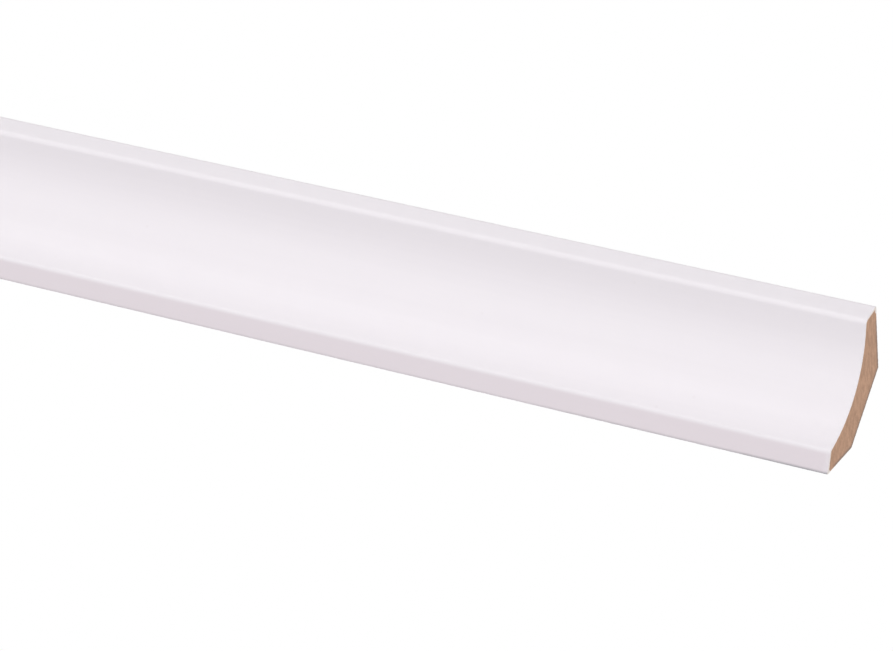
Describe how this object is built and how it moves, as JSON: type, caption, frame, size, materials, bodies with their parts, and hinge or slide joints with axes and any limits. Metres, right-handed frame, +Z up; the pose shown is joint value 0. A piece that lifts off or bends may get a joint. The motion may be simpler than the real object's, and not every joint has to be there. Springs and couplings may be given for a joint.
{
  "type": "crown moulding length",
  "caption": "Straight length of small cove crown moulding: a hollow painted face between two narrow flats, wall and ceiling flats behind, ends cut square.",
  "frame": {"origin": "centre of the flat that is fixed to the wall, halfway along the length", "axes": "+X along the length, +Y into the wall, +Z up to the ceiling"},
  "size_m": [0.27, 0.0313, 0.0292],
  "materials": {
    "painted_fibreboard": "fine fibreboard with a satin white factory paint film on the face, the back and the cut ends left bare and brown"
  },
  "bodies": {
    "root": {"crown_moulding_length": "painted_fibreboard"}
  },
  "joints": []
}
